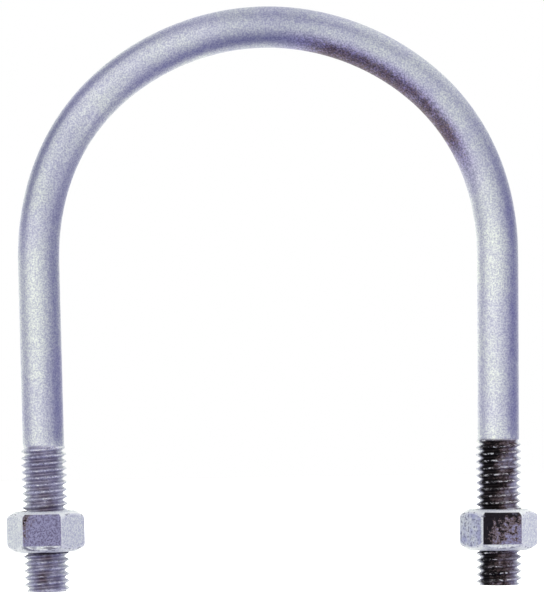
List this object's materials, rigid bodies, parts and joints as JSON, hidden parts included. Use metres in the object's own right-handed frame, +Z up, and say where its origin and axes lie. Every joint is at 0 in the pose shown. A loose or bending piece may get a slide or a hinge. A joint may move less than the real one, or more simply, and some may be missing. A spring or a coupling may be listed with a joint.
{
  "type": "u-bolt",
  "caption": "Round-bend U-bolt: a bent round steel rod with right-hand threaded leg ends, each carrying a chamfered hex nut.",
  "frame": {"origin": "midway between the two leg ends, level with their lowest edge", "axes": "+Z up the legs to the bow, X across the legs (left leg at -X), Y through the thickness"},
  "size_m": [0.1479, 0.0198, 0.1618],
  "materials": {
    "rod_zinc": "electroplated zinc with a grainy bluish lavender sheen, stained dark in the thread roots",
    "nut_zinc": "electroplated zinc, paler and smoother than the rod, with bright worn corners"
  },
  "bodies": {
    "rod": {"bent_rod": "rod_zinc"},
    "left_nut": {"left_nut": "nut_zinc"},
    "right_nut": {"right_nut": "nut_zinc"}
  },
  "joints": [
    {"name": "left_nut_travel", "type": "slide", "parent": "rod", "child": "left_nut", "axis": [-0.0113, 0, 0.9999], "range_m": [-0.01758, 0.01563]},
    {"name": "right_nut_travel", "type": "slide", "parent": "rod", "child": "right_nut", "axis": [0.0113, 0, 0.9999], "range_m": [-0.01758, 0.01563]}
  ]
}
